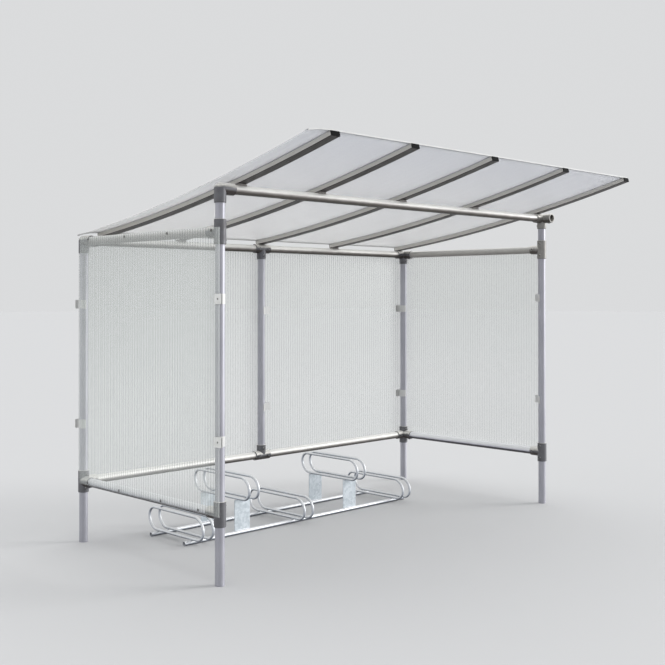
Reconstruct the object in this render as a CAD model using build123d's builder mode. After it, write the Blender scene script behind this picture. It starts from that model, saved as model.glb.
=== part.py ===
from build123d import *
from math import asin, atan2, copysign, cos, degrees, hypot, sin, sqrt
import os

# Bicycle shelter of round tube and cast fittings, with clear wall and roof sheets, in millimetres.
# The origin is on the ground, under the middle of the shelter's overall box. +X runs along the open
# front, +Y goes to the back wall and +Z is up.

# Frame of round tube
bay_width = 2900.0            # between the axes of the left and right posts
bay_depth = 1300.0            # between the axes of the front and back posts
beam_height = 2013.0          # axis of the front beam
frame_fall = 219.0            # from the front beam's axis down to the top rails'
low_rail_height = 362.0
middle_post_x = -50.0
tube_diameter = 50.0
tube_wall = 3.0

# Cast fittings that join the tubes
fitting_wall = 6.3
fitting_clearance = 0.2
sleeve_slack = 0.2            # added where a tube passes right through
branch_step = 0.5             # a tee's side barrels are this much slimmer than its sleeve
socket_reach = 85.0           # mouth of a level socket, from the crossing of the axes
socket_drop = 72.0            # mouth of an upright socket
run_half_length = 65.0        # a sleeve that a tube passes through
stop_gap = 1.0                # left where the end of one tube meets another
boss_radius = 9.0
boss_height = 4.0
boss_inset = 24.0             # axis of a set screw's boss, from the mouth
screw_hole_radius = 5.0
screw_hole_depth = 6.0        # stays short of the tube inside
mouth_chamfer = 1.5

# Rafters, bent to one radius from rectangular tube
left_rafter_inset = 138.0     # middle of the first rafter, in from the left posts' axis
right_rafter_inset = 53.0
left_rafter_spacing = 684.0   # from the rafter over the middle post to its neighbours
right_rafter_spacing = 720.0
rafter_radius = 13000.0       # underside
rafter_width = 60.0
rafter_height = 25.0
rafter_wall = 2.0
rafter_corner = 3.0
roof_front_overhang = 690.0   # from the beam's axis, at the rafters' underside
roof_back_overhang = 18.0
cap_thickness = 4.0
cap_corner = 2.0
saddle_inset = 9.0            # sides of a saddle, in from the tube's

# Roof sheets and the strips that hold them
roof_left_overhang = 30.0     # past the left posts' axis
roof_sheet_thickness = 6.0
left_edge_sag_front = 13.0    # the free left edge hangs lower than the sheet on the first rafter
left_edge_sag_back = 24.0
sheet_joint_gap = 6.0
strip_width = 50.0
strip_thickness = 2.0
trim_thickness = 1.5
trim_leg = 20.0
trim_clearance = 0.2
strip_end_gap = 1.0           # between a capping strip and a trim

# Wall panels and their clips
panel_thickness = 8.0
panel_gap = 0.3               # between a fitting and a panel
panel_above_rail = 21.0       # past the top rails' axis
panel_below_rail = 7.0        # past the low rails' axis
side_panel_excess = 18.0      # a side panel's length, over the bay's depth
left_panel_front = 37.0       # how far the left panel reaches past the front post's axis
right_panel_front = 0.0
back_panel_overlap = 12.0     # past the axes of the corner posts
clip_size = 52.0
clip_thickness = 3.0
clip_strap = 2.0
side_clip_levels = (369.0, 342.0)     # above the low rails' axis, and below the top rails'
corner_clip_levels = (342.0, 377.0)
back_clip_levels = (328.0, 430.0)
front_left_clip_reach = 59.0  # from the post's axis to the clip's far edge
front_right_clip_reach = 76.0
back_left_clip_reach = 34.0
back_middle_clip_reach = 104.0
back_right_clip_reach = 44.0

# Wheel rack on the ground
rack_tube_diameter = 25.0
rack_tube_wall = 2.0
rack_left_x = -1092.0
rack_end_reach = 90.0         # from the middle of the last holder to the rack's right end
rack_tube_setback = 112.0     # first tube, behind the loops' front
rack_tube_spacing = 335.0
holder_places = [92.0, 442.0, 902.0, 1390.0, 1854.0]     # from the rack's left end
holder_levels = ["low", "high", "low", "high", "low"]
holder_spacing = 74.0         # between the axes of the two bars that hold one wheel
bar_diameter = 16.0
loop_length = 540.0
loop_height = 132.0
loop_big_radius = 80.0
loop_back_gap = 87.0          # from the loops' axis to the back posts'
plate_height = 189.0
plate_overhang = 15.0         # past the bars that a plate carries
plate_thickness = 6.0

# Sizes that follow from those above
tube_radius = tube_diameter / 2
sleeve_radius = tube_radius + fitting_clearance + fitting_wall
bore_radius = tube_radius + fitting_clearance
boss_face = sleeve_radius + boss_height
stop = tube_radius + stop_gap
panel_face = sleeve_radius + panel_gap
clip_face = panel_face + panel_thickness
left_x = -bay_width / 2
right_x = bay_width / 2
top_rail_height = beam_height - frame_fall
roof_left_x = left_x - roof_left_overhang
rafter_places = [
    left_x + left_rafter_inset,
    middle_post_x - left_rafter_spacing,
    middle_post_x,
    middle_post_x + right_rafter_spacing,
    right_x - right_rafter_inset,
]
sag_start_x = rafter_places[0] - rafter_width / 2
sag_stations = (0, 0.4, 0.7, 1)
roof_depth = bay_depth + roof_front_overhang + roof_back_overhang

# The rafters' underside is an arc about a point high above the back wall. It touches the fittings on
# the front beam and on the back top rail, so its centre is equally far from both axes.
frame_slope = atan2(frame_fall, bay_depth)
bearing_radius = rafter_radius + sleeve_radius
arc_rise = sqrt(bearing_radius**2 - (hypot(bay_depth, frame_fall) / 2) ** 2)
arc_behind_front = bay_depth / 2 + arc_rise * sin(frame_slope)
arc_z = (beam_height + top_rail_height) / 2 + arc_rise * cos(frame_slope)
front_angle = asin((arc_behind_front + roof_front_overhang) / rafter_radius)
back_angle = asin((arc_behind_front - bay_depth - roof_back_overhang) / rafter_radius)

# The lower corner of the rafters' end caps is foremost, and the clips of the back wall are rearmost
front_reach = rafter_radius * sin(front_angle) + cap_thickness * cos(front_angle) - arc_behind_front
back_reach = clip_face + clip_thickness
front_y = (front_reach - back_reach - bay_depth) / 2
back_y = front_y + bay_depth
arc_y = front_y + arc_behind_front


def save(piece, label):
    """Name a finished piece and write it."""
    piece.part.label = label
    export_step(piece.part, f"parts/{label}.step")


def make_tube(label, start, direction, length):
    """Straight round tube of the frame, open at both ends."""
    with BuildPart() as tube:
        with BuildSketch(Plane(origin=start, z_dir=direction)):
            Circle(tube_radius)
            Circle(tube_radius - tube_wall, mode=Mode.SUBTRACT)
        extrude(amount=length)
    save(tube, label)


def barrel(direction, radius, start, end, chamfered=False):
    """Round bar about the origin, from one distance to another in a direction."""
    with BuildPart() as bar:
        with BuildSketch(Plane(origin=Vector(*direction) * start, z_dir=direction)):
            Circle(radius)
        extrude(amount=end - start)
        if chamfered:
            mouths = [edge for edge in bar.edges().filter_by(GeomType.CIRCLE) if edge.center().length > 0]
            chamfer(mouths, mouth_chamfer)
    return bar.part


def make_fitting(label, centre, sockets, run=None, boss=(0, 1, 0)):
    """Cast fitting: a barrel for each socket, and a sleeve along the run if a tube passes through.

    sockets holds the directions of the sockets, and run that of the tube that passes through. Each
    barrel has a boss for its set screw on the side that boss points to, or on its underside where
    the barrel itself runs that way. A socket's bore opens into the sleeve, and in a corner it stops
    short of the other sockets.
    """
    ends = [(direction, socket_drop if direction[2] else socket_reach) for direction in sockets]
    with BuildPart() as casting:
        if run:
            add(barrel(run, sleeve_radius, -run_half_length, run_half_length, chamfered=True))
        else:
            Sphere(sleeve_radius)
        for direction, reach in ends:
            slimmer = branch_step if run else 0
            add(barrel(direction, sleeve_radius - slimmer, 0, reach, chamfered=True))
        bossed = list(ends)
        if run:
            bossed += [(run, run_half_length), (run, -run_half_length)]
        for direction, reach in bossed:
            lengthways = Vector(*direction).dot(Vector(*boss)) != 0
            side = (0, 0, -1) if lengthways else boss
            place = Location(Vector(*direction) * (reach - copysign(boss_inset, reach)))
            add(barrel(side, boss_radius, 0, boss_face).moved(place))
            hole = barrel(side, screw_hole_radius, boss_face - screw_hole_depth, boss_face)
            add(hole.moved(place), mode=Mode.SUBTRACT)
        for direction, reach in ends:
            add(barrel(direction, bore_radius, 0 if run else stop, reach), mode=Mode.SUBTRACT)
        if run:
            through = barrel(run, bore_radius + sleeve_slack, -run_half_length, run_half_length)
            add(through, mode=Mode.SUBTRACT)
    with BuildPart() as fitting:
        with Locations(centre):
            add(casting.part)
    save(fitting, label)


def roof_profile(low, high, from_angle=front_angle, to_angle=back_angle):
    """Strip between two heights above the rafters' underside, seen from the side."""
    first = 270 - degrees(from_angle)
    sweep_angle = degrees(from_angle - to_angle)
    with BuildSketch(Plane.YZ) as profile:
        with BuildLine():
            under = CenterArc((arc_y, arc_z), rafter_radius - low, first, sweep_angle)
            over = CenterArc((arc_y, arc_z), rafter_radius - high, first, sweep_angle)
            Line(under @ 0, over @ 0)
            Line(under @ 1, over @ 1)
        make_face()
    return profile.sketch


def along_roof(profile, start_x, end_x):
    """Solid of a profile that runs along the roof's width.

    Past the first rafter it bends down with the free edge of the sheet, in spans between stations.
    """
    sagging = start_x < sag_start_x
    with BuildPart() as piece:
        flat_x = sag_start_x if sagging else start_x
        extrude(profile.moved(Location((flat_x, 0, 0))), amount=end_x - flat_x)
        if sagging:
            stations = [profile.moved(sag_place(share)).face() for share in sag_stations]
            loft(stations, ruled=True)
    return piece


def sag_place(share):
    """Place of a roof profile, at a share of the way from the first rafter to the free left edge."""
    bend = share**2
    x = sag_start_x + share * (roof_left_x - sag_start_x)
    back_end = Location((0, back_y + roof_back_overhang, top_rail_height + sleeve_radius))
    tilt = degrees(bend * (left_edge_sag_front - left_edge_sag_back) / roof_depth)
    turn = back_end * Location((0, 0, 0), (tilt, 0, 0)) * back_end.inverse()
    return Location((x, 0, -bend * left_edge_sag_back)) * turn


def roof_end_plane(angle, height, outward):
    """Plane square to the roof at one end, at a height above the rafters' underside."""
    radius = rafter_radius - height
    origin = (0, arc_y - radius * sin(angle), arc_z - radius * cos(angle))
    return Plane(origin=origin, x_dir=(1, 0, 0), z_dir=(0, -outward * cos(angle), outward * sin(angle)))


os.makedirs("parts", exist_ok=True)

# Posts: the front pair ends under the front beam and the back pair under the back top rail
front_post_top = beam_height - stop
back_post_top = top_rail_height - stop
make_tube("front_left_post", (left_x, front_y, 0), (0, 0, 1), front_post_top)
make_tube("front_right_post", (right_x, front_y, 0), (0, 0, 1), front_post_top)
make_tube("back_left_post", (left_x, back_y, 0), (0, 0, 1), back_post_top)
make_tube("back_right_post", (right_x, back_y, 0), (0, 0, 1), back_post_top)
middle_post_length = top_rail_height - low_rail_height - 2 * stop
make_tube("back_middle_post", (middle_post_x, back_y, low_rail_height + stop), (0, 0, 1), middle_post_length)

# Beam and rails, between the posts that carry them
across = bay_width - 2 * stop
along = bay_depth - 2 * stop
make_tube("front_beam", (left_x + stop, front_y, beam_height), (1, 0, 0), across)
make_tube("back_top_rail", (left_x + stop, back_y, top_rail_height), (1, 0, 0), across)
make_tube("back_bottom_rail", (left_x + stop, back_y, low_rail_height), (1, 0, 0), across)
for side, x in (("left", left_x), ("right", right_x)):
    make_tube(f"{side}_top_rail", (x, front_y + stop, top_rail_height), (0, 1, 0), along)
    make_tube(f"{side}_bottom_rail", (x, front_y + stop, low_rail_height), (0, 1, 0), along)

# Corner fittings: an elbow at the front left, and three-way corners elsewhere. The forward socket of
# the front right corner is left empty.
right, left = (1, 0, 0), (-1, 0, 0)
back, front = (0, 1, 0), (0, -1, 0)
up, down = (0, 0, 1), (0, 0, -1)
make_fitting("front_left_elbow", (left_x, front_y, beam_height), [down, right])
make_fitting("front_right_corner", (right_x, front_y, beam_height), [down, left, front])
make_fitting("back_left_corner", (left_x, back_y, top_rail_height), [down, right, front], boss=front)
make_fitting("back_right_corner", (right_x, back_y, top_rail_height), [down, left, front], boss=front)

# Tees on the front posts take the side rails, and those on the back posts take the back rail too
for side, x, inward in (("left", left_x, right), ("right", right_x, left)):
    for level, height in (("upper", top_rail_height), ("lower", low_rail_height)):
        make_fitting(f"front_{side}_{level}_tee", (x, front_y, height), [back], run=up, boss=inward)
    make_fitting(f"back_{side}_lower_tee", (x, back_y, low_rail_height), [inward, front], run=up, boss=front)

# The middle post hangs between two tees on the back rails and stays clear of the ground
make_fitting("back_middle_upper_tee", (middle_post_x, back_y, top_rail_height), [down], run=right, boss=front)
make_fitting("back_middle_lower_tee", (middle_post_x, back_y, low_rail_height), [up], run=right, boss=front)

# Rafters lie flat across the beam and the rail, with a plug in each end
for number, x in enumerate(rafter_places, start=1):
    with BuildPart() as rafter:
        outer = roof_profile(0, rafter_height)
        extrude(outer.moved(Location((x - rafter_width / 2, 0, 0))), amount=rafter_width)
        long_edges = rafter.edges().filter_by(GeomType.CIRCLE)
        fillet(long_edges, rafter_corner)
        inner = roof_profile(rafter_wall, rafter_height - rafter_wall)
        inner_width = rafter_width - 2 * rafter_wall
        extrude(inner.moved(Location((x - inner_width / 2, 0, 0))), amount=inner_width, mode=Mode.SUBTRACT)
    save(rafter, f"rafter_{number}")

with BuildPart() as end_caps:
    for angle, outward in ((front_angle, 1), (back_angle, -1)):
        with BuildSketch(roof_end_plane(angle, rafter_height / 2, outward)):
            with Locations(*[(x, 0) for x in rafter_places]):
                RectangleRounded(rafter_width, rafter_height, cap_corner)
        extrude(amount=cap_thickness)
save(end_caps, "rafter_end_caps")

# Saddles fill the space between a rafter and a bare tube, where no fitting lifts the rafter
with BuildPart() as saddles:
    for y, z, bare_rafters in ((front_y, beam_height, (0, 1, 2, 3)), (back_y, top_rail_height, (0, 1, 3))):
        lean = asin((arc_y - y) / bearing_radius)
        with BuildSketch(Plane.YZ) as side:
            with BuildLine():
                reach = tube_radius - saddle_inset
                base = sqrt(tube_radius**2 - reach**2)
                hollow = ThreePointArc((-reach, base), (0, tube_radius), (reach, base))
                crown = sleeve_radius + (rafter_radius - sqrt(rafter_radius**2 - reach**2))
                top = ThreePointArc((-reach, crown), (0, sleeve_radius), (reach, crown))
                Line(hollow @ 0, top @ 0)
                Line(hollow @ 1, top @ 1)
            make_face()
        for index in bare_rafters:
            x = rafter_places[index] - rafter_width / 2
            profile = side.sketch.moved(Location((x, y, z), (-degrees(lean), 0, 0)))
            extrude(profile, amount=rafter_width)
save(saddles, "rafter_saddles")

# Roof sheets meet over the rafters and reach past the first rafter on the left
sheet_low = rafter_height
sheet_high = rafter_height + roof_sheet_thickness
roof_right_x = rafter_places[-1] + rafter_width / 2
joints = rafter_places[1:-1]
starts = [roof_left_x] + [x + sheet_joint_gap / 2 for x in joints]
ends = [x - sheet_joint_gap / 2 for x in joints] + [roof_right_x]
for number, (start_x, end_x) in enumerate(zip(starts, ends), start=1):
    save(along_roof(roof_profile(sheet_low, sheet_high), start_x, end_x), f"roof_sheet_{number}")

# Angle trims close the sheets' front and back edges
for name, angle, outward in (("roof_front_trim", front_angle, 1), ("roof_back_trim", back_angle, -1)):
    edge = roof_end_plane(angle, sheet_low, outward)
    leg = Plane(origin=edge.origin, x_dir=edge.z_dir, z_dir=(1, 0, 0))
    with BuildSketch(leg) as angle_section:
        with BuildLine():
            shelf = copysign(roof_sheet_thickness + trim_clearance, leg.y_dir.Z)
            rise = copysign(roof_sheet_thickness + trim_clearance + trim_thickness, leg.y_dir.Z)
            Polyline(
                (0, 0),
                (trim_thickness, 0),
                (trim_thickness, rise),
                (-trim_leg, rise),
                (-trim_leg, shelf),
                (0, shelf),
                close=True,
            )
        make_face()
    save(along_roof(angle_section.sketch, roof_left_x, roof_right_x), name)

# Capping strips press the sheets down on the rafters, between the two trims
strip_low = sheet_high
strip_high = strip_low + strip_thickness
strip_margin = (trim_leg + strip_end_gap) / rafter_radius
with BuildPart() as strips:
    profile = roof_profile(strip_low, strip_high, front_angle - strip_margin, back_angle + strip_margin)
    last = roof_right_x - strip_width / 2
    for x in rafter_places[:-1] + [last]:
        extrude(profile.moved(Location((x - strip_width / 2, 0, 0))), amount=strip_width)
save(strips, "roof_capping_strips")

# Side wall panels stand outside the posts, against the fittings
side_panel_length = bay_depth + side_panel_excess
panel_bottom = low_rail_height - panel_below_rail
panel_height = top_rail_height + panel_above_rail - panel_bottom
panel_middle = panel_face + panel_thickness / 2
for side, x, past_post in (
    ("left", left_x - panel_middle, left_panel_front),
    ("right", right_x + panel_middle, right_panel_front),
):
    with BuildPart() as panel:
        with BuildSketch(Plane.XY.offset(panel_bottom)):
            with Locations((x, front_y - past_post + side_panel_length / 2)):
                Rectangle(panel_thickness, side_panel_length)
        extrude(amount=panel_height)
    save(panel, f"{side}_wall_panel")

# Two panels make the back wall and meet on the middle post
back_panel_ends = {
    "left": (left_x - back_panel_overlap, middle_post_x - sheet_joint_gap / 2),
    "right": (middle_post_x + sheet_joint_gap / 2, right_x + back_panel_overlap),
}
for side, (start_x, end_x) in back_panel_ends.items():
    with BuildPart() as panel:
        with BuildSketch(Plane.XY.offset(panel_bottom)):
            with Locations(((start_x + end_x) / 2, back_y + panel_middle)):
                Rectangle(end_x - start_x, panel_thickness)
        extrude(amount=panel_height)
    save(panel, f"back_{side}_wall_panel")


def clip_place(post_x, post_y, face, toward):
    """Frame of a clip seen from above, with its x axis away from the clip's far edge.

    face is the direction from the post to the panel and toward that from the post to the clip.
    """
    across = Vector(-toward[0], -toward[1], 0)
    facing = Vector(face[0], face[1], 0)
    return Plane(origin=(post_x, post_y, 0), x_dir=across, z_dir=across.cross(facing))


# Each clip is a square plate outside the panel, and a strap that goes half round the post and lies
# flat on the panel's inner face
clip_places = (
    (left_x, front_y, (-1, 0), (0, -1), front_left_clip_reach, side_clip_levels),
    (right_x, front_y, (1, 0), (0, 1), front_right_clip_reach, side_clip_levels),
    (left_x, back_y, (0, 1), (-1, 0), back_left_clip_reach, corner_clip_levels),
    (middle_post_x, back_y, (0, 1), (1, 0), back_middle_clip_reach, back_clip_levels),
    (right_x, back_y, (0, 1), (-1, 0), back_right_clip_reach, back_clip_levels),
)
strap_outer = tube_radius + clip_strap
plates, straps = [], []
for x, y, face, toward, reach, (rise, drop) in clip_places:
    with BuildSketch() as plate:
        with Locations((clip_size / 2 - reach, clip_face + clip_thickness / 2)):
            Rectangle(clip_size, clip_thickness)
    with BuildSketch() as strap:
        Circle(strap_outer)
        Circle(tube_radius, mode=Mode.SUBTRACT)
        split(bisect_by=Plane.YZ, keep=Keep.BOTTOM)
        with Locations((-reach / 2, panel_face - clip_strap / 2)):
            Rectangle(reach, clip_strap)
        with Locations((clip_strap / 2 - strap_outer, panel_face / 2)):
            Rectangle(clip_strap, panel_face)
    place = clip_place(x, y, face, toward)
    for height in (low_rail_height + rise, top_rail_height - drop):
        level = Location((0, 0, height))
        plates.append(place.from_local_coords(plate.sketch).moved(level))
        straps.append(place.from_local_coords(strap.sketch).moved(level))
for name, plans in (("panel_clips", plates), ("clip_straps", straps)):
    with BuildPart() as clips:
        for plan in plans:
            extrude(plan, amount=clip_size / 2, both=True)
    save(clips, name)

# The rack: two tubes on the ground carry pairs of bent bars, and plates raise every other pair
rack_tube_radius = rack_tube_diameter / 2
bar_radius = bar_diameter / 2
loop_back_y = back_y - loop_back_gap
loop_front_y = loop_back_y - loop_length
first_tube_y = loop_front_y + rack_tube_setback
rack_tube_ys = [first_tube_y, first_tube_y + rack_tube_spacing]
with BuildPart() as rack_tubes:
    for y in rack_tube_ys:
        with BuildSketch(Plane(origin=(rack_left_x, y, rack_tube_radius), z_dir=(1, 0, 0))):
            Circle(rack_tube_radius)
            Circle(rack_tube_radius - rack_tube_wall, mode=Mode.SUBTRACT)
        extrude(amount=holder_places[-1] + rack_end_reach)
save(rack_tubes, "rack_base_tubes")

loop_small_radius = loop_height - loop_big_radius
loop_bottoms = {
    "low": rack_tube_diameter + bar_radius,
    "high": rack_tube_diameter + plate_height + bar_radius,
}
for number, (place, level) in enumerate(zip(holder_places, holder_levels), start=1):
    holder_x = rack_left_x + place
    bottom = loop_bottoms[level]
    top = bottom + loop_height
    waist = bottom + loop_small_radius
    back_waist = bottom + loop_big_radius
    with BuildPart() as holder:
        for x in (holder_x - holder_spacing / 2, holder_x + holder_spacing / 2):
            with BuildLine(Plane.YZ.offset(x)) as loop:
                floor_bar = Line(
                    (loop_front_y + loop_small_radius, bottom), (loop_back_y - loop_big_radius, bottom)
                )
                CenterArc((loop_back_y - loop_big_radius, back_waist), loop_big_radius, 270, 90)
                CenterArc((loop_back_y - loop_small_radius, back_waist), loop_small_radius, 0, 90)
                Line((loop_back_y - loop_small_radius, top), (loop_front_y + loop_big_radius, top))
                CenterArc((loop_front_y + loop_big_radius, waist), loop_big_radius, 90, 90)
                CenterArc((loop_front_y + loop_small_radius, waist), loop_small_radius, 180, 90)
            with BuildSketch(Plane(origin=floor_bar @ 0, z_dir=floor_bar % 0)):
                Circle(bar_radius)
            sweep()
    save(holder, f"wheel_holder_{number}")

plate_width = holder_spacing + bar_diameter + 2 * plate_overhang
with BuildPart() as plates:
    for place, level in zip(holder_places, holder_levels):
        if level == "high":
            with BuildSketch(Plane.XY.offset(rack_tube_diameter)):
                with Locations(*[(rack_left_x + place, y) for y in rack_tube_ys]):
                    Rectangle(plate_width, plate_thickness)
            extrude(amount=plate_height)
save(plates, "rack_support_plates")
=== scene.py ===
import math

import bmesh
import bpy
from mathutils import Matrix, Vector
from mathutils.bvhtree import BVHTree


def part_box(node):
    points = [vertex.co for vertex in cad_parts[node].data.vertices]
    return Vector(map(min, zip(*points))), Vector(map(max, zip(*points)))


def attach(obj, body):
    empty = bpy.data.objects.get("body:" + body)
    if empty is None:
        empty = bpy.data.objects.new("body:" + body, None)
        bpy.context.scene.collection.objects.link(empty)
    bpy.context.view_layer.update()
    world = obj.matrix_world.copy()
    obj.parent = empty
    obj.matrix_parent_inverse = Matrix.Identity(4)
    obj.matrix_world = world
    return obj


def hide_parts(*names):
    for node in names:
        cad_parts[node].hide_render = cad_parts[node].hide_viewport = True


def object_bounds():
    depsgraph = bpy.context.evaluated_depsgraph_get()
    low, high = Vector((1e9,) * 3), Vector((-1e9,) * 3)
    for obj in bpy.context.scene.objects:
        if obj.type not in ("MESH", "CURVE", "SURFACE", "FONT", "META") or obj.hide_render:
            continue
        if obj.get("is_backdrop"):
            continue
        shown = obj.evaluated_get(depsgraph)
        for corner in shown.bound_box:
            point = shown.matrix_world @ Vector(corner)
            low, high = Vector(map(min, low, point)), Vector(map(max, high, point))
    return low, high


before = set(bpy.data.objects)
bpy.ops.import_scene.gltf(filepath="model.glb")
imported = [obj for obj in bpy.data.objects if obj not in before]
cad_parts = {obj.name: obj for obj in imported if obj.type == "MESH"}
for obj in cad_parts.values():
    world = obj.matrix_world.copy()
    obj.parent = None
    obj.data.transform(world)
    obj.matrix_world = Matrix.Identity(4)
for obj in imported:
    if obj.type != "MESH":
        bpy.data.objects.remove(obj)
cad_low, cad_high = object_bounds()

# Frame tubes: round aluminium tube, drawn through a die and left in its satin mill finish. The tubes
# are sawn to length and held in the castings by set screws, so they carry no weld and no paint.
tube_colour = (0.455, 0.455, 0.50)
tube_dull_colour = (0.385, 0.385, 0.43)
# Painted light on the rails: tops painted pale as a highlight and a reflection of the bright roof and
# sky, undersides painted dark as shade, by how far each surface faces up.
rail_painted_light = (          # how far the surface faces up, colour
    (0.00, (0.045, 0.040, 0.036)),
    (0.22, (0.090, 0.078, 0.068)),
    (0.42, (0.330, 0.310, 0.295)),
    (0.56, (0.700, 0.690, 0.660)),
    (0.70, (0.860, 0.850, 0.815)),
)
sheltered_rail_painted_light = (
    (0.00, (0.200, 0.190, 0.180)),
    (0.30, (0.360, 0.345, 0.325)),
    (0.50, (0.480, 0.465, 0.440)),
    (0.70, (0.640, 0.625, 0.595)),
    (0.86, (0.860, 0.850, 0.820)),
)
low_rail_painted_light = (
    (0.00, (0.025, 0.022, 0.025)),
    (0.27, (0.060, 0.055, 0.064)),
    (0.36, (0.140, 0.138, 0.165)),
    (0.43, (0.600, 0.600, 0.655)),
    (0.60, (0.790, 0.790, 0.820)),
    (0.74, (0.900, 0.900, 0.910)),
)
light_edge_lumps = 14.0           # to a metre, as lumps, lines, patches and grains are in every finish
light_edge_raggedness = 0.12            # how ragged the change of colour is
post_metallic = 0.55
rail_metallic = 0.3          # grime and chalk hide more of the metal
tube_patches = 4.0
tube_roughness = (0.42, 0.54)
die_lines = 900.0            # fine lines, counted across
die_line_breaks = 1.3        # changes along a line
die_line_depth = 0.00003
noise_middle = 0.5
straight_down = -1.0         # upward share of an underside's normal


def set_value(material, socket, value):
    """Sets a number or colour that is the same all over the surface."""
    material.node_tree.nodes["Principled BSDF"].inputs[socket].default_value = value


def new_finish(name, metallic=0.0, colour=None):
    """Material with one Principled shader, to which the sections add their colour and grain."""
    material = bpy.data.materials.new(name)
    material.use_nodes = True
    set_value(material, "Metallic", metallic)
    if colour:
        set_value(material, "Base Color", (*colour, 1))
    return material


def add_noise(material, scale, detail=3.0, stretch=(1, 1, 1)):
    """Noise in the piece's own coordinates, in lumps to a metre. Returns its output."""
    nodes, links = material.node_tree.nodes, material.node_tree.links
    place = nodes.new("ShaderNodeTexCoord")
    mapping = nodes.new("ShaderNodeMapping")
    mapping.inputs["Scale"].default_value = stretch
    noise = nodes.new("ShaderNodeTexNoise")
    noise.inputs["Scale"].default_value = scale
    noise.inputs["Detail"].default_value = detail
    links.new(place.outputs["Object"], mapping.inputs["Vector"])
    links.new(mapping.outputs["Vector"], noise.inputs["Vector"])
    return noise.outputs["Fac"]


def colour_by_stops(material, driver, stops):
    """Colours a surface by stops along the driver; driven by add_upward it paints shade below and light
    on top.
    """
    nodes, links = material.node_tree.nodes, material.node_tree.links
    ramp = nodes.new("ShaderNodeValToRGB")
    ramp_middle = 0.5        # where a new stop waits for its own place
    while len(ramp.color_ramp.elements) < len(stops):
        ramp.color_ramp.elements.new(ramp_middle)
    for element, (position, colour) in zip(ramp.color_ramp.elements, stops):
        element.position = position
        element.color = (*colour, 1)
    links.new(driver, ramp.inputs["Fac"])
    links.new(ramp.outputs["Color"], nodes["Principled BSDF"].inputs["Base Color"])


def vary_colour(material, driver, first, second, start=0.35, end=0.65):
    """Lets the colour run from first to second as the driver goes from start to end."""
    colour_by_stops(material, driver, ((start, first), (end, second)))


def vary_value(material, driver, socket, low, high, start=0.3, end=0.7):
    """Lets one of the shader's numbers run from low to high as the driver goes from start to end."""
    nodes, links = material.node_tree.nodes, material.node_tree.links
    spread = nodes.new("ShaderNodeMapRange")
    spread.inputs["From Min"].default_value = start
    spread.inputs["From Max"].default_value = end
    spread.inputs["To Min"].default_value = low
    spread.inputs["To Max"].default_value = high
    links.new(driver, spread.inputs["Value"])
    links.new(spread.outputs["Result"], nodes["Principled BSDF"].inputs[socket])


def add_ragged(material, driver, lumps, ragged_by):
    """Makes a driver ragged by noise, as far above its own value as below."""
    nodes, links = material.node_tree.nodes, material.node_tree.links
    centred = nodes.new("ShaderNodeMath")
    centred.operation = "SUBTRACT"
    centred.inputs[1].default_value = noise_middle
    ragged = nodes.new("ShaderNodeMath")
    ragged.operation = "MULTIPLY_ADD"
    ragged.inputs[1].default_value = ragged_by
    links.new(lumps, centred.inputs[0])
    links.new(centred.outputs["Value"], ragged.inputs[0])
    links.new(driver, ragged.inputs[2])
    return ragged.outputs["Value"]


def add_upward(material, lumps, ragged_by):
    """How far the surface faces up, from 0 on an underside to 1 on a top, made ragged by noise."""
    nodes, links = material.node_tree.nodes, material.node_tree.links
    surface = nodes.new("ShaderNodeNewGeometry")
    split = nodes.new("ShaderNodeSeparateXYZ")
    spread = nodes.new("ShaderNodeMapRange")
    spread.inputs["From Min"].default_value = straight_down
    links.new(surface.outputs["Normal"], split.inputs["Vector"])
    links.new(split.outputs["Z"], spread.inputs["Value"])
    return add_ragged(material, spread.outputs["Result"], lumps, ragged_by)


def add_bump(material, driver, depth):
    """Raises the surface by depth metres where the driver is 1."""
    nodes, links = material.node_tree.nodes, material.node_tree.links
    bump = nodes.new("ShaderNodeBump")
    bump.inputs["Distance"].default_value = depth
    links.new(driver, bump.inputs["Height"])
    links.new(bump.outputs["Normal"], nodes["Principled BSDF"].inputs["Normal"])


def dress(node, material):
    """Gives a CAD node its finish."""
    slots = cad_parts[node].data.materials
    slots.clear()
    slots.append(material)


line_stretch = die_line_breaks / die_lines
posts = [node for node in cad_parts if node.endswith("_post")]
for kind, stretch, painted_light_stops, tubes in (
    ("cross_tube", (line_stretch, 1, 1), rail_painted_light,
     ("front_beam", "back_top_rail", "back_bottom_rail")),
    ("side_rail", (1, line_stretch, 1), sheltered_rail_painted_light,
     ("left_top_rail", "right_top_rail")),
    ("low_side_rail", (1, line_stretch, 1), low_rail_painted_light,
     ("left_bottom_rail", "right_bottom_rail")),
    ("post", (1, 1, line_stretch), None, posts),
):
    drawn = new_finish(f"drawn_{kind}", metallic=rail_metallic if painted_light_stops else post_metallic)
    lines = add_noise(drawn, die_lines, detail=1.0, stretch=stretch)
    patches = add_noise(drawn, tube_patches)
    # The rails' colour is painted light and shade by which way the surface faces; the posts get random
    # dull patches of the tube's own tone.
    if painted_light_stops:
        colour_by_stops(drawn, add_upward(drawn, add_noise(drawn, light_edge_lumps), light_edge_raggedness), painted_light_stops)
    else:
        vary_colour(drawn, patches, tube_dull_colour, tube_colour)
    vary_value(drawn, patches, "Roughness", *tube_roughness)
    add_bump(drawn, lines, die_line_depth)
    for node in tubes:
        dress(node, drawn)

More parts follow.
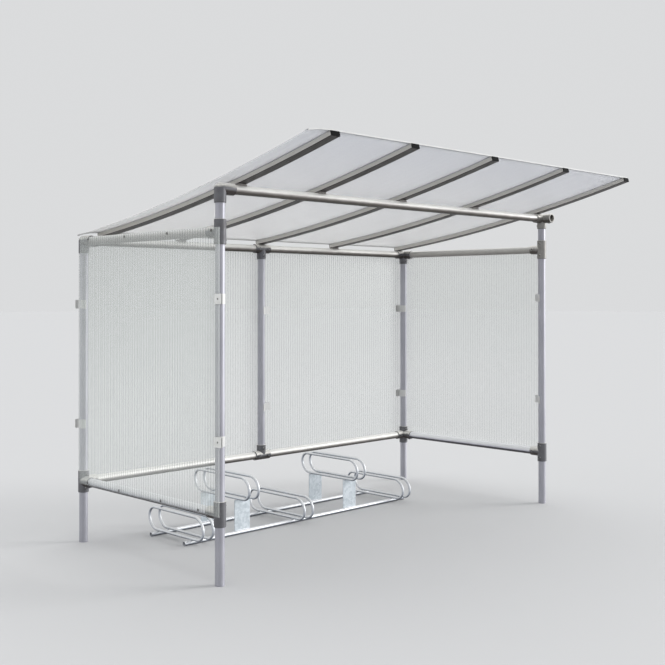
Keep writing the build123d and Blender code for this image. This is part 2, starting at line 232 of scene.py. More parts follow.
# Cast fittings: sand-cast aluminium elbows, corners and tees, bored for the tubes. Their skin keeps
# the grain of the mould and is darker and duller than the drawn tube.
# Painted light on the castings: tops painted pale as a highlight, undersides painted dark as shade. The
# two front right castings get a brighter copy, painted as sunlit, and the others a darker one, painted
# as shaded.
cast_painted_light = (
    (0.00, (0.030, 0.023, 0.020)),
    (0.28, (0.045, 0.036, 0.033)),
    (0.42, (0.115, 0.112, 0.118)),
    (0.56, (0.150, 0.152, 0.166)),
    (0.64, (0.400, 0.390, 0.370)),
    (0.78, (0.780, 0.765, 0.725)),
)
sunlit_cast_painted_light = (   # of the two castings that rain and sun reach most
    (0.00, (0.050, 0.042, 0.036)),
    (0.28, (0.085, 0.075, 0.066)),
    (0.42, (0.240, 0.232, 0.220)),
    (0.56, (0.300, 0.292, 0.275)),
    (0.64, (0.560, 0.545, 0.505)),
    (0.78, (0.860, 0.840, 0.790)),
)
painted_sunlit_castings = ("front_right_corner", "front_right_upper_tee")
cast_light_edge_lumps = 26.0
cast_light_edge_raggedness = 0.25
cast_metallic = 0.35
cast_dull_spots = 60.0
cast_roughness = (0.40, 0.58)
cast_grain = 700.0
cast_grain_depth = 0.00025

cast_finish = {}
for kind, painted_light_stops in (("shaded", cast_painted_light), ("painted_sunlit", sunlit_cast_painted_light)):
    casting = new_finish(f"{kind}_cast_skin", metallic=cast_metallic)
    colour_by_stops(casting, add_upward(casting, add_noise(casting, cast_light_edge_lumps), cast_light_edge_raggedness), painted_light_stops)
    vary_value(casting, add_noise(casting, cast_dull_spots), "Roughness", *cast_roughness)
    add_bump(casting, add_noise(casting, cast_grain, detail=2.0), cast_grain_depth)
    cast_finish[kind] = casting
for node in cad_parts:
    if node.endswith(("_tee", "_elbow", "_corner")):
        dress(node, cast_finish["painted_sunlit" if node in painted_sunlit_castings else "shaded"])

# Set screws: hexagon-socket grub screws of zinc-plated steel, one in the boss of each socket and two
# on a sleeve. They are tightened on the tube and end just below the boss's face.
fastener_colour = (0.20, 0.20, 0.20)
fastener_stain_colour = (0.10, 0.095, 0.085)
fastener_stains = 220.0
fastener_metallic = 0.85
fastener_scuffs = 500.0
fastener_roughness = (0.32, 0.55)
socket_reach = 0.085         # mouth of a level socket, from the crossing of the axes
socket_drop = 0.072          # mouth of an upright socket
sleeve_half_length = 0.065
boss_inset = 0.024           # set screw's axis, from the mouth
screw_seat = 0.0297          # bottom of a boss's hole, from the tube's axis
set_screw_section = (        # radius, height above the seat, outline
    (0.0047, 0.0, "round"),
    (0.0047, 0.0036, "round"),
    (0.0041, 0.0043, "round"),
    (0.0026, 0.0043, "hexagon"),
    (0.0025, 0.0012, "hexagon"),
)
corner_sharpness = 16        # of the square outline


def outline_radius(outline, size, turn):
    """Distance from the middle to an outline's edge; size is the distance to its nearest point."""
    if outline == "hexagon":
        return size / math.cos((turn + math.pi / 6) % (math.pi / 3) - math.pi / 6)
    if outline == "square":
        across = abs(math.cos(turn)) ** corner_sharpness + abs(math.sin(turn)) ** corner_sharpness
        return size / across ** (1 / corner_sharpness)
    return size


def join_rings(mesh, rings):
    """Adds the faces of a closed solid through a row of rings, which have as many points each."""
    sides = len(rings[0])
    for lower, upper in zip(rings, rings[1:]):
        for step in range(sides):
            after = (step + 1) % sides
            mesh.faces.new((lower[step], lower[after], upper[after], upper[step]))
    mesh.faces.new(rings[0][::-1])
    mesh.faces.new(rings[-1])


def add_turned(mesh, place, section, sides=24):
    """Adds a closed solid about the place's z axis, from the middle of its foot to that of its top."""
    rings = []
    for size, height, outline in section:
        ring = []
        for step in range(sides):
            turn = 2 * math.pi * step / sides
            radius = outline_radius(outline, size, turn)
            point = Vector((radius * math.cos(turn), radius * math.sin(turn), height))
            ring.append(mesh.verts.new(place @ point))
        rings.append(ring)
    join_rings(mesh, rings)


def facing(point, direction):
    """Place at a point, with its z axis along a direction."""
    turn = Vector(direction).to_track_quat("Z", "Y").to_matrix().to_4x4()
    return Matrix.Translation(point) @ turn


def add_piece(name, mesh, material, smooth=False):
    """Turns a mesh in the making into a piece of the shelter."""
    bmesh.ops.recalc_face_normals(mesh, faces=mesh.faces)
    data = bpy.data.meshes.new(name)
    mesh.to_mesh(data)
    mesh.free()
    data.materials.append(material)
    if smooth:
        data.polygons.foreach_set("use_smooth", [True] * len(data.polygons))
    piece = bpy.data.objects.new(name, data)
    bpy.context.scene.collection.objects.link(piece)
    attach(piece, "root")
    return piece


plated = new_finish("zinc_plated_steel", metallic=fastener_metallic)
vary_colour(plated, add_noise(plated, fastener_stains), fastener_stain_colour, fastener_colour)
vary_value(plated, add_noise(plated, fastener_scuffs), "Roughness", *fastener_roughness)

right, left = Vector((1, 0, 0)), Vector((-1, 0, 0))
back, front = Vector((0, 1, 0)), Vector((0, -1, 0))
up, down = Vector((0, 0, 1)), Vector((0, 0, -1))
fitting_sockets = {          # directions of the sockets, of the sleeve, and of the bosses
    "front_left_elbow": ((down, right), None, back),
    "front_right_corner": ((down, left, front), None, back),
    "back_left_corner": ((down, right, front), None, front),
    "back_right_corner": ((down, left, front), None, front),
    "front_left_upper_tee": ((back,), up, right),
    "front_left_lower_tee": ((back,), up, right),
    "front_right_upper_tee": ((back,), up, left),
    "front_right_lower_tee": ((back,), up, left),
    "back_left_lower_tee": ((right, front), up, front),
    "back_right_lower_tee": ((left, front), up, front),
    "back_middle_upper_tee": ((down,), right, front),
    "back_middle_lower_tee": ((up,), right, front),
}


def axis_of(node):
    """Middle of a CAD node's box, which is on its axis where the node is a plain tube."""
    low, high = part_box(node)
    return (low + high) / 2


post_of = {node.removesuffix("_post"): axis_of(node) for node in posts}
beam_height = axis_of("front_beam").z
top_rail_height = axis_of("back_top_rail").z
low_rail_height = axis_of("back_bottom_rail").z
for node, (sockets, sleeve, boss) in fitting_sockets.items():
    post = next(place for name, place in post_of.items() if node.startswith(name))
    crossing_height = low_rail_height if "lower" in node else top_rail_height
    if node in ("front_left_elbow", "front_right_corner"):
        crossing_height = beam_height
    crossing = Vector((post.x, post.y, crossing_height))
    bossed = [(way, socket_drop if way.z else socket_reach) for way in sockets]
    if sleeve:
        bossed += [(sleeve, sleeve_half_length), (-sleeve, sleeve_half_length)]
    screws = bmesh.new()
    for way, reach in bossed:
        side = down if way.dot(boss) else boss       # a socket that runs the bosses' way has one below
        seat = crossing + way * (reach - boss_inset) + side * screw_seat
        add_turned(screws, facing(seat, side), set_screw_section)
    add_piece(f"{node}_set_screws", screws, plated)

# Rafters: flat rectangular aluminium tube, rolled to one radius. The rolls leave long faint marks, and
# the undersides are painted dark brown-grey as shade, while the sides stay pale.
rafter_painted_shade = (
    (0.10, (0.038, 0.032, 0.031)),
    (0.34, (0.055, 0.048, 0.046)),
    (0.44, (0.560, 0.545, 0.510)),
    (0.80, (0.620, 0.610, 0.585)),
)
rafter_count = 5
rafter_shade_edge = 0.16
rafter_metallic = 0.35
rafter_specular = 0.2
rafter_roughness = (0.36, 0.50)
roll_marks = 420.0           # counted across the rafter
roll_mark_stretch = (1, 0.004, 0.02)     # across, along and down the rafter
roll_mark_depth = 0.00004

rolled = new_finish("rolled_rafter", metallic=rafter_metallic)
set_value(rolled, "Specular IOR Level", rafter_specular)
marks = add_noise(rolled, roll_marks, detail=2.0, stretch=roll_mark_stretch)
colour_by_stops(rolled, add_upward(rolled, marks, rafter_shade_edge), rafter_painted_shade)
vary_value(rolled, marks, "Roughness", *rafter_roughness)
add_bump(rolled, marks, roll_mark_depth)
rafters = [f"rafter_{number}" for number in range(1, rafter_count + 1)]
for node in rafters:
    dress(node, rolled)

# Rafter screws: a pan-head screw goes up through each rafter into its capping strip between the beam
# and the back rail, and another does in the overhang in front.
rafter_screws_behind_beam = (-0.36, 0.62)
underside_screw_section = (
    (0.0046, 0.0, "round"),
    (0.0046, 0.0010, "round"),
    (0.0038, 0.0022, "round"),
    (0.0020, 0.0028, "round"),
    (0.0012, 0.0014, "hexagon"),
)
plumb_start = 1.0            # a plumb line starts this far above or below the shelter


def surface_of(node):
    """Search tree of a CAD node's surface."""
    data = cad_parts[node].data
    points = [vertex.co.copy() for vertex in data.vertices]
    return BVHTree.FromPolygons(points, [list(face.vertices) for face in data.polygons])


def surface_point(tree, x, y, way):
    """Point and outward normal where a plumb line meets the surface, from above or from below."""
    start_height = cad_high.z + plumb_start if way.z < 0 else cad_low.z - plumb_start
    point, normal = tree.ray_cast(Vector((x, y, start_height)), way)[:2]
    if point is not None and normal.dot(way) > 0:
        normal = -normal
    return point, normal


beam_y = axis_of("front_beam").y
rafter_x = [axis_of(node).x for node in rafters]
for node, x in zip(rafters, rafter_x):
    tree = surface_of(node)
    screws = bmesh.new()
    for behind in rafter_screws_behind_beam:
        point, normal = surface_point(tree, x, beam_y + behind, up)
        add_turned(screws, facing(point, normal), underside_screw_section)
    add_piece(f"{node}_screws", screws, plated, smooth=True)

# Rafter plugs and saddles: moulded black nylon. The plugs are pushed into the open ends, and the
# saddles bed the flat rafters on the round beam and rail, where they have gone grey with age.
plug_colour = (0.002, 0.002, 0.002)
plug_specular = 0.08
plug_roughness = (0.65, 0.80)
plug_grain = 1800.0
plug_grain_depth = 0.00004
saddle_colour = (0.26, 0.245, 0.23)
saddle_dark_colour = (0.17, 0.16, 0.15)
saddle_patches = 60.0
saddle_roughness = (0.50, 0.70)
nylon_scuffs = 900.0

nylon = new_finish("black_nylon", colour=plug_colour)
set_value(nylon, "Specular IOR Level", plug_specular)
vary_value(nylon, add_noise(nylon, nylon_scuffs), "Roughness", *plug_roughness)
add_bump(nylon, add_noise(nylon, plug_grain, detail=1.0), plug_grain_depth)
dress("rafter_end_caps", nylon)
aged_nylon = new_finish("aged_nylon")
vary_colour(aged_nylon, add_noise(aged_nylon, saddle_patches), saddle_dark_colour, saddle_colour)
vary_value(aged_nylon, add_noise(aged_nylon, nylon_scuffs), "Roughness", *saddle_roughness)
dress("rafter_saddles", aged_nylon)

# Roof sheets: clear twin-wall plastic sheet with a milky tint, extruded with ribs between its skins
# and bent over the rafters with the ribs running down the slope.
roof_haze = (0.62, 0.63, 0.675)
roof_dust = (0.89, 0.875, 0.865)         # gathers toward the low back edge
dust_lumps = 160.0
dust_raggedness = 0.6
dust_limits = (0.05, 0.95)   # of the slope's height, from all dust to all haze
roof_cover = 0.50            # share of the light that one skin stops
roof_glow = 0.02             # how far light spreads in the milky skin
sheet_streaks = 55.0         # faint streaks along the extrusion
streak_stretch = (1, 0.02, 0.02)
roof_roughness = (0.30, 0.38)
mottling = 130.0
mottling_depth = 0.00004
roof_rib_haze = (0.90, 0.90, 0.91)
roof_rib_cover = 0.02
rib_scuffs = 40.0
rib_roughness = (0.25, 0.40)
rib_pitch = 0.022
rib_thickness = 0.0007
skin_thickness = 0.0005
roof_rib_spans = 24          # straight stretches along a bent rib
roof_rib_margin = 0.004      # from a rib's end to the sheet's edge


def new_clear_finish(name, cover, haze=None):
    """Finish of a clear plastic that hides a share of what is behind it."""
    material = new_finish(name, colour=haze)
    set_value(material, "Alpha", cover)
    return material


def add_height(material, lowest, highest):
    """Height above the ground, from 0 at the lowest to 1 at the highest."""
    nodes, links = material.node_tree.nodes, material.node_tree.links
    place = nodes.new("ShaderNodeTexCoord")
    split = nodes.new("ShaderNodeSeparateXYZ")
    spread = nodes.new("ShaderNodeMapRange")
    spread.inputs["From Min"].default_value = lowest
    spread.inputs["From Max"].default_value = highest
    links.new(place.outputs["Object"], split.inputs["Vector"])
    links.new(split.outputs["Z"], spread.inputs["Value"])
    return spread.outputs["Result"]


def rib_places(start, end):
    """Middles of the ribs between two edges of a sheet, with one on each edge."""
    first = start + skin_thickness + rib_thickness / 2
    length = end - start - 2 * (first - start)
    spans = round(length / rib_pitch)
    return [first + length * step / spans for step in range(spans + 1)]


def add_bar(mesh, sections):
    """Adds a closed bar through a row of sections, which have as many corners each."""
    join_rings(mesh, [[mesh.verts.new(point) for point in section] for section in sections])


roof_skin = new_clear_finish("roof_sheet_skin", roof_cover)
set_value(roof_skin, "Subsurface Weight", 1.0)
set_value(roof_skin, "Subsurface Radius", (1, 1, 1))
set_value(roof_skin, "Subsurface Scale", roof_glow)
roof_low, roof_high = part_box("roof_sheet_1")
slope = add_height(roof_skin, roof_low.z, roof_high.z)
dust = add_ragged(roof_skin, slope, add_noise(roof_skin, dust_lumps, detail=5.0), dust_raggedness)
vary_colour(roof_skin, dust, roof_dust, roof_haze, *dust_limits)
streaks = add_noise(roof_skin, sheet_streaks, detail=0.0, stretch=streak_stretch)
vary_value(roof_skin, streaks, "Roughness", *roof_roughness)
add_bump(roof_skin, add_noise(roof_skin, mottling), mottling_depth)
roof_rib = new_clear_finish("roof_rib", roof_rib_cover, roof_rib_haze)
vary_value(roof_rib, add_noise(roof_rib, rib_scuffs), "Roughness", *rib_roughness)

for number in range(1, rafter_count):    # a sheet spans each bay between two rafters
    sheet = f"roof_sheet_{number}"
    dress(sheet, roof_skin)
    low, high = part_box(sheet)
    tree = surface_of(sheet)
    rib_length = high.y - low.y - 2 * roof_rib_margin
    ribs = bmesh.new()
    for x in rib_places(low.x, high.x):
        near, far = x - rib_thickness / 2, x + rib_thickness / 2
        sections = []
        for step in range(roof_rib_spans + 1):
            y = low.y + roof_rib_margin + rib_length * step / roof_rib_spans
            under = surface_point(tree, x, y, up)[0].z + skin_thickness
            over = surface_point(tree, x, y, down)[0].z - skin_thickness
            corners = ((near, under), (far, under), (far, over), (near, over))
            sections.append([Vector((corner_x, y, z)) for corner_x, z in corners])
        add_bar(ribs, sections)
    add_piece(f"{sheet}_ribs", ribs, roof_rib)

# Edge trims and capping strips: aluminium angle and flat bar, screwed down over the sheets' edges and
# over each rafter. The front trim is pale and dull, and the back one is painted dark as the shade under
# the eave.
trim_colour = (0.62, 0.62, 0.61)
trim_dull_colour = (0.56, 0.56, 0.55)
trim_specular = 0.25
trim_roughness = (0.48, 0.62)
strip_colour = (0.62, 0.62, 0.63)
strip_dull_colour = (0.52, 0.52, 0.53)
strip_metallic = 0.6
strip_roughness = (0.28, 0.45)
bar_patches = 12.0
bar_scuffs = 30.0
# Painted shade: the back trim is painted near black where it faces down, standing in for the shade and
# gap under the eave.
eave_painted_shade = (
    (0.00, (0.030, 0.028, 0.026)),
    (0.55, (0.100, 0.095, 0.090)),
    (0.90, (0.500, 0.500, 0.500)),
)
eave_shade_lumps = 20.0
eave_shade_edge = 0.2
eave_metallic = 0.4
eave_roughness = (0.40, 0.60)

trim = new_finish("white_trim")
set_value(trim, "Specular IOR Level", trim_specular)
vary_value(trim, add_noise(trim, bar_scuffs), "Roughness", *trim_roughness)
vary_colour(trim, add_noise(trim, bar_patches), trim_dull_colour, trim_colour)
dress("roof_front_trim", trim)
eave = new_finish("shade_painted_trim", metallic=eave_metallic)
colour_by_stops(eave, add_upward(eave, add_noise(eave, eave_shade_lumps), eave_shade_edge), eave_painted_shade)
vary_value(eave, add_noise(eave, bar_scuffs), "Roughness", *eave_roughness)
dress("roof_back_trim", eave)
strip = new_finish("mill_strip", metallic=strip_metallic)
vary_value(strip, add_noise(strip, bar_scuffs), "Roughness", *strip_roughness)
vary_colour(strip, add_noise(strip, bar_patches), strip_dull_colour, strip_colour)
dress("roof_capping_strips", strip)

# Capping screws: hexagon-head self-drilling screws with bonded sealing washers, down the middle of
# each capping strip.
capping_screw_pitch = 0.36
first_capping_screw = 0.08   # from the strip's end
strip_half_width = 0.025
capping_screw_section = (
    (0.0075, 0.0, "round"),
    (0.0075, 0.0012, "round"),
    (0.0060, 0.0018, "round"),
    (0.0052, 0.0019, "round"),
    (0.0040, 0.0020, "hexagon"),
    (0.0040, 0.0055, "hexagon"),
    (0.0034, 0.0060, "round"),
)

strips_low, strips_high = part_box("roof_capping_strips")
strip_tree = surface_of("roof_capping_strips")
strip_x = [*rafter_x[:-1], strips_high.x - strip_half_width]     # the last isn't centred on its rafter
for number, x in enumerate(strip_x, start=1):
    screws = bmesh.new()
    length = strips_high.y - strips_low.y - 2 * first_capping_screw
    spans = round(length / capping_screw_pitch)
    for step in range(spans + 1):
        y = strips_low.y + first_capping_screw + length * step / spans
        point, normal = surface_point(strip_tree, x, y, down)
        add_turned(screws, facing(point, normal), capping_screw_section)
    add_piece(f"capping_screws_{number}", screws, plated)

# Wall panels: flat clear twin-wall sheet with upright ribs, which hangs outside the frame. The ribs
# show as fine upright lines.
wall_haze = (0.72, 0.75, 0.725)
wall_foot_cover = 0.16       # share of the light that one skin stops at its foot
wall_top_cover = 0.24
wall_patches = 9.0
wall_roughness = (0.14, 0.30)
wall_rib_haze = (0.70, 0.73, 0.71)
wall_rib_cover = 0.12
wall_rib_margin = 0.0004     # from a rib's end to the panel's edge
wall_panels = ("left_wall_panel", "right_wall_panel", "back_left_wall_panel", "back_right_wall_panel")

wall_skin = new_clear_finish("wall_sheet_skin", wall_foot_cover, wall_haze)
panel_low, panel_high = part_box("left_wall_panel")
panel_rise = add_height(wall_skin, panel_low.z, panel_high.z)
vary_value(wall_skin, panel_rise, "Alpha", wall_foot_cover, wall_top_cover)
vary_value(wall_skin, add_noise(wall_skin, wall_patches), "Roughness", *wall_roughness)
wall_rib = new_clear_finish("wall_rib", wall_rib_cover, wall_rib_haze)
vary_value(wall_rib, add_noise(wall_rib, rib_scuffs), "Roughness", *rib_roughness)
for node in wall_panels:
    dress(node, wall_skin)
    low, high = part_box(node)
    along = 1 if high.y - low.y > high.x - low.x else 0
    through = 1 - along
    half_depth = (high[through] - low[through]) / 2 - skin_thickness
    ribs = bmesh.new()
    for middle in rib_places(low[along], high[along]):
        corners = []
        for side, face in ((-1, -1), (1, -1), (1, 1), (-1, 1)):
            corner = Vector((0, 0, 0))
            corner[along] = middle + side * rib_thickness / 2
            corner[through] = (high[through] + low[through]) / 2 + face * half_depth
            corners.append(corner)
        ends = [Vector((0, 0, z)) for z in (low.z + wall_rib_margin, high.z - wall_rib_margin)]
        add_bar(ribs, [[corner + end for corner in corners] for end in ends])
    add_piece(f"{node}_ribs", ribs, wall_rib)

# Panel screws: low pan-head screws of zinc-plated steel on washers, which hold the wall panels to the
# rails. They go through the sheet into the outer side of the tube.
panel_screw_rise = 0.006     # above the rails' axes
side_screws_top = (0.024, 0.403, 0.810, 1.190)       # behind the front posts' axis
side_screws_low = (0.130, 0.457, 0.860, 1.190)
back_screws = (-1.24, -0.83, -0.42, 0.33, 0.70, 1.07)
panel_screw_section = (
    (0.0080, 0.0, "round"),
    (0.0080, 0.0008, "round"),
    (0.0056, 0.0010, "round"),
    (0.0054, 0.0018, "round"),
    (0.0042, 0.0026, "round"),
    (0.0024, 0.0028, "round"),
    (0.0018, 0.0018, "hexagon"),
)

front_y = post_of["front_left"].y
for side, way in (("left", left), ("right", right)):
    low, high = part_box(f"{side}_wall_panel")
    face_x = low.x if side == "left" else high.x
    screws = bmesh.new()
    for rail_height, places in ((top_rail_height, side_screws_top), (low_rail_height, side_screws_low)):
        for behind in places:
            point = Vector((face_x, front_y + behind, rail_height + panel_screw_rise))
            add_turned(screws, facing(point, way), panel_screw_section)
    add_piece(f"{side}_panel_screws", screws, plated)
face_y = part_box("back_left_wall_panel")[1].y
screws = bmesh.new()
for rail_height in (top_rail_height, low_rail_height):
    for x in back_screws:
        point = Vector((x, face_y, rail_height + panel_screw_rise))
        add_turned(screws, facing(point, back), panel_screw_section)
add_piece("back_panel_screws", screws, plated)

# Panel clips: square plates of white moulded plastic outside the sheets, with rounded edges. A
# countersunk screw draws each to a thin metal strap that goes half round the post.
clip_white = (0.88, 0.88, 0.86)
clip_yellowed = (0.78, 0.78, 0.75)
clip_patches = 45.0
clip_scuffs = 300.0
clip_roughness = (0.30, 0.42)
clip_sides = 64              # steps around a plate, enough for its corners
clip_foot_inset = 0.0003     # small bevel along a plate's foot
clip_foot_rise = 0.0004
clip_edge = 0.0012           # radius along a plate's edges
clip_edge_middle = 0.3 * clip_edge       # middle of the rounded edge, from the plate's side and face
countersink = 0.0060         # radius of the screw's hole at the plate's face
countersink_floor = 0.62 * countersink
countersink_depth = 0.0014
clip_screw_section = (       # radius, height above the plate's face, outline
    (0.00360, -0.0014, "round"),
    (0.00516, -0.0005, "round"),
    (0.00480, -0.0003, "round"),
    (0.00180, -0.0003, "hexagon"),
    (0.00170, -0.0012, "hexagon"),
)
strap_colour = (0.62, 0.62, 0.61)
strap_metallic = 0.3
strap_scuffs = 160.0
strap_roughness = (0.30, 0.50)

clip_plastic = new_finish("clip_plastic")
vary_colour(clip_plastic, add_noise(clip_plastic, clip_patches), clip_yellowed, clip_white)
vary_value(clip_plastic, add_noise(clip_plastic, clip_scuffs), "Roughness", *clip_roughness)
strap_metal = new_finish("strap_metal", metallic=strap_metallic, colour=strap_colour)
vary_value(strap_metal, add_noise(strap_metal, strap_scuffs), "Roughness", *strap_roughness)
dress("clip_straps", strap_metal)


def separate_boxes(node):
    """Lowest and highest corners of each separate solid of a CAD node."""
    same_point = 1e-6
    mesh = bmesh.new()
    mesh.from_mesh(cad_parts[node].data)
    bmesh.ops.remove_doubles(mesh, verts=mesh.verts, dist=same_point)
    waiting = set(mesh.verts)
    boxes = []
    while waiting:
        found = [waiting.pop()]
        for vertex in found:
            for edge in vertex.link_edges:
                other = edge.other_vert(vertex)
                if other in waiting:
                    waiting.remove(other)
                    found.append(other)
        points = [vertex.co for vertex in found]
        lowest = Vector(min(point[axis] for point in points) for axis in range(3))
        highest = Vector(max(point[axis] for point in points) for axis in range(3))
        boxes.append((lowest, highest))
    mesh.free()
    return sorted(boxes, key=lambda box: tuple(box[0]))


plates, clip_screws = bmesh.new(), bmesh.new()
for low, high in separate_boxes("panel_clips"):
    middle = (low + high) / 2
    size = high - low
    way = left if middle.x < post_of["front_left"].x else right
    if size.y < size.x:
        way = back
    thickness = abs(size.dot(way))
    half = size.z / 2
    plate_section = (
        (half - clip_foot_inset, 0.0, "square"),
        (half, clip_foot_rise, "square"),
        (half, thickness - clip_edge, "square"),
        (half - clip_edge_middle, thickness - clip_edge_middle, "square"),
        (half - clip_edge, thickness, "square"),
        (countersink, thickness, "round"),
        (countersink_floor, thickness - countersink_depth, "round"),
    )
    add_turned(plates, facing(middle - way * thickness / 2, way), plate_section, sides=clip_sides)
    add_turned(clip_screws, facing(middle + way * thickness / 2, way), clip_screw_section)
clips = add_piece("moulded_panel_clips", plates, clip_plastic)
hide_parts("panel_clips")
add_piece("clip_screws", clip_screws, plated)

# Wheel rack: round steel bar bent into flat loops and welded to two tubes and four plates, then
# dipped in hot zinc, which leaves pale crystals on the plates and a bluish skin on the bars.
# Painted light on the bars, tubes and welds: tops painted pale as a reflection of the sky, undersides
# painted dark as shade, by how far each surface faces up.
zinc_painted_light = (
    (0.00, (0.055, 0.058, 0.067)),
    (0.24, (0.165, 0.177, 0.208)),
    (0.40, (0.470, 0.500, 0.555)),
    (0.58, (0.720, 0.745, 0.775)),
    (0.78, (0.870, 0.880, 0.890)),
)
holder_count = 5
zinc_light_edge_lumps = 60.0
zinc_light_edge_raggedness = 0.18
zinc_metallic = 0.4
zinc_dull_spots = 90.0
zinc_roughness = (0.28, 0.46)
zinc_drips = 120.0
zinc_drip_depth = 0.0002
spangles = 70.0              # crystals
spangle_dark = (0.54, 0.60, 0.64)
spangle_pale = (0.67, 0.72, 0.76)
spangle_limits = (0.1, 0.9)  # of the crystals' values, from all dark to all pale
spangle_metallic = 0.3
spangle_roughness = (0.34, 0.56)

zinc = new_finish("hot_dip_zinc", metallic=zinc_metallic)
zinc_light_edge_noise = add_noise(zinc, zinc_light_edge_lumps, detail=4.0)
colour_by_stops(zinc, add_upward(zinc, zinc_light_edge_noise, zinc_light_edge_raggedness), zinc_painted_light)
vary_value(zinc, add_noise(zinc, zinc_dull_spots), "Roughness", *zinc_roughness)
add_bump(zinc, add_noise(zinc, zinc_drips, detail=2.0), zinc_drip_depth)
holders = [f"wheel_holder_{number}" for number in range(1, holder_count + 1)]
for node in [*holders, "rack_base_tubes"]:
    dress(node, zinc)


def add_crystals(material, scale):
    """Flat cells with a value of their own, to a metre. Returns the cells' value."""
    nodes, links = material.node_tree.nodes, material.node_tree.links
    place = nodes.new("ShaderNodeTexCoord")
    cells = nodes.new("ShaderNodeTexVoronoi")
    cells.inputs["Scale"].default_value = scale
    split = nodes.new("ShaderNodeSeparateColor")
    links.new(place.outputs["Object"], cells.inputs["Vector"])
    links.new(cells.outputs["Color"], split.inputs["Color"])
    return split.outputs["Red"]


spangled = new_finish("spangled_zinc", metallic=spangle_metallic)
crystals = add_crystals(spangled, spangles)
vary_colour(spangled, crystals, spangle_dark, spangle_pale, *spangle_limits)
vary_value(spangled, crystals, "Roughness", *spangle_roughness)
dress("rack_support_plates", spangled)

# Weld beads: short fillets of weld metal, under the same zinc, where a loop's bottom bar rests on a
# base tube or on a plate, and where a plate stands on its tube.
bead_radius = 0.0032
bead_steps = 14
bead_ripple = 0.0006
bead_ripples = 5.0
bead_end = 0.12              # share of a full swell that is cut off at each end
bead_bluntness = 0.4
bead_out = 0.62              # from the bar's middle, in shares of its radius
bead_above = 0.16            # above what carries the bar, in shares of its radius
tube_bead_half = 0.0085
plate_bead_half = 0.0045
raised_loop = 0.05           # a loop that is more than this above the tubes stands on plates
plate_bead_margin = 0.004    # from the bead's end to the plate's
plate_bead_rise = 0.0005


def add_bead(mesh, start, end):
    """Adds a rippled bead of weld from one point to another."""
    line = end - start
    rings = []
    for step in range(bead_steps + 1):
        share = step / bead_steps
        swell = math.sin(math.pi * (bead_end + (1 - 2 * bead_end) * share)) ** bead_bluntness
        ripple = bead_ripple * math.cos(2 * math.pi * bead_ripples * share)
        rings.append((bead_radius * swell + ripple, line.length * share, "round"))
    add_turned(mesh, facing(start, line), rings, sides=10)


def tops_under(boxes, x):
    """Middle and top of each box that passes under a bar at x."""
    return [((low.y + high.y) / 2, high.z) for low, high in boxes if low.x < x < high.x]


tube_boxes = separate_boxes("rack_base_tubes")
plate_boxes = separate_boxes("rack_support_plates")
raised_height = tube_boxes[0][1].z + raised_loop
beads = bmesh.new()
for node in holders:
    for low, high in separate_boxes(node):
        bar_x = (low.x + high.x) / 2
        bar_radius = (high.x - low.x) / 2
        raised = low.z > raised_height
        half = plate_bead_half if raised else tube_bead_half
        for y, top in tops_under(plate_boxes if raised else tube_boxes, bar_x):
            for side in (-1, 1):
                x = bar_x + side * bar_radius * bead_out
                z = top + bar_radius * bead_above
                add_bead(beads, Vector((x, y - half, z)), Vector((x, y + half, z)))
for low, high in plate_boxes:
    for y in (low.y, high.y):
        z = low.z + plate_bead_rise
        start_x, end_x = low.x + plate_bead_margin, high.x - plate_bead_margin
        add_bead(beads, Vector((start_x, y, z)), Vector((end_x, y, z)))
add_piece("rack_welds", beads, zinc, smooth=True)

# The stage: a pale matt floor that runs on to the horizon, under a pale sky. What is seen of the sky
# is near white, and its light and that of the three softboxes are plain and soft.
floor_colour = (0.62, 0.62, 0.62)
floor_roughness = 0.9
floor_reach = 80.0
seen_sky = (0.705, 0.712, 0.720)
lit_sky = (0.95, 0.97, 1.0)
sky_strength = 0.62
softboxes = {                # strength, width of its disc in the sky in radians, direction toward it
    "overhead_softbox": (1.1, 1.2, (0.25, 0.10, 0.95)),
    "side_softbox": (2.7, 0.5, (0.84, -0.54, 0.24)),
    "left_softbox": (0.38, 1.2, (-0.85, 0.45, 0.25)),
}

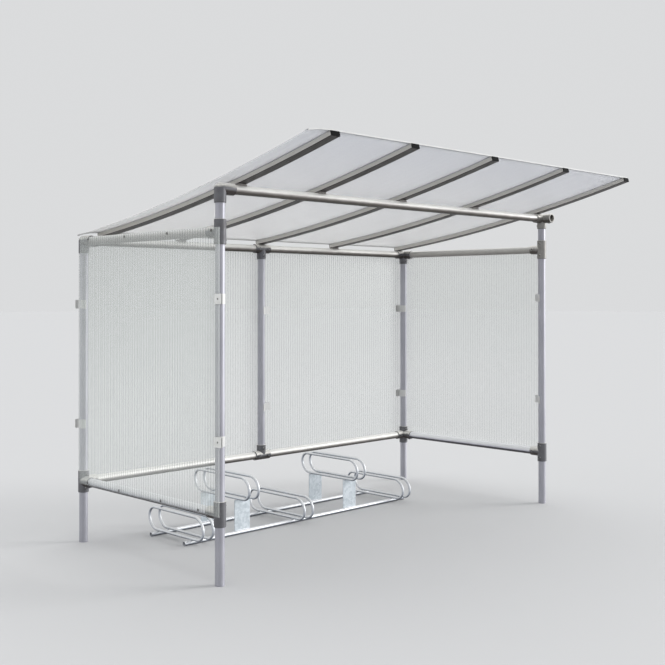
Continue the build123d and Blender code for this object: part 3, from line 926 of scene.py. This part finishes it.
bpy.ops.mesh.primitive_plane_add(size=2 * floor_reach, location=(0, 0, cad_low.z))
floor = bpy.context.object
floor.name = "stage_floor"
matt_floor = new_finish("stage_floor", colour=floor_colour)
set_value(matt_floor, "Roughness", floor_roughness)
set_value(matt_floor, "Specular IOR Level", 0.0)
floor.data.materials.append(matt_floor)
floor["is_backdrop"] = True

world = bpy.data.worlds.new("sky")
bpy.context.scene.world = world
world.use_nodes = True
sky_nodes, sky_links = world.node_tree.nodes, world.node_tree.links
seen = sky_nodes["Background"]
seen.inputs["Color"].default_value = (*seen_sky, 1)
seen.inputs["Strength"].default_value = 1.0
lit = sky_nodes.new("ShaderNodeBackground")
lit.inputs["Color"].default_value = (*lit_sky, 1)
lit.inputs["Strength"].default_value = sky_strength
ray = sky_nodes.new("ShaderNodeLightPath")
seen_by = ray.outputs["Is Camera Ray"]
for kind in ("Is Glossy Ray", "Is Transmission Ray"):
    either = sky_nodes.new("ShaderNodeMath")
    either.operation = "MAXIMUM"
    sky_links.new(seen_by, either.inputs[0])
    sky_links.new(ray.outputs[kind], either.inputs[1])
    seen_by = either.outputs["Value"]
blend = sky_nodes.new("ShaderNodeMixShader")
sky_links.new(seen_by, blend.inputs["Fac"])
sky_links.new(lit.outputs["Background"], blend.inputs[1])
sky_links.new(seen.outputs["Background"], blend.inputs[2])
sky_links.new(blend.outputs["Shader"], sky_nodes["World Output"].inputs["Surface"])

for name, (strength, width, toward) in softboxes.items():
    lamp = bpy.data.objects.new(name, bpy.data.lights.new(name, "SUN"))
    bpy.context.scene.collection.objects.link(lamp)
    lamp.data.energy = strength
    lamp.data.angle = width
    lamp.rotation_mode = "QUATERNION"
    lamp.rotation_quaternion = Vector(toward).to_track_quat("Z", "Y")

# The camera stands at the photograph's viewpoint, left of the shelter and in front of it. Its place
# is measured from the foot of the front left post, and its lens from the photograph's width.
eye_from_front_left_post = Vector((-3.225, -4.048, 1.470))
heading = math.radians(44.873)           # from +Y toward +X
climb = math.radians(0.442)
photo_width = 665.0
focal_length = 1013.33                   # in the photograph's pixels
rise_of_centre = 44.96                   # the lens points this far above the picture's middle

camera = bpy.data.objects.new("camera", bpy.data.cameras.new("camera"))
bpy.context.scene.collection.objects.link(camera)
bpy.context.scene.camera = camera
camera.data.lens = camera.data.sensor_width * focal_length / photo_width
camera.data.shift_y = -rise_of_centre / photo_width
post_foot = Vector((post_of["front_left"].x, post_of["front_left"].y, cad_low.z))
camera.location = post_foot + eye_from_front_left_post
level_share = math.cos(climb)
ahead = Vector((math.sin(heading) * level_share, math.cos(heading) * level_share, math.sin(climb)))
camera.rotation_mode = "QUATERNION"
camera.rotation_quaternion = ahead.to_track_quat("-Z", "Y")
bpy.context.scene.view_settings.view_transform = "Standard"

low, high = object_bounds()
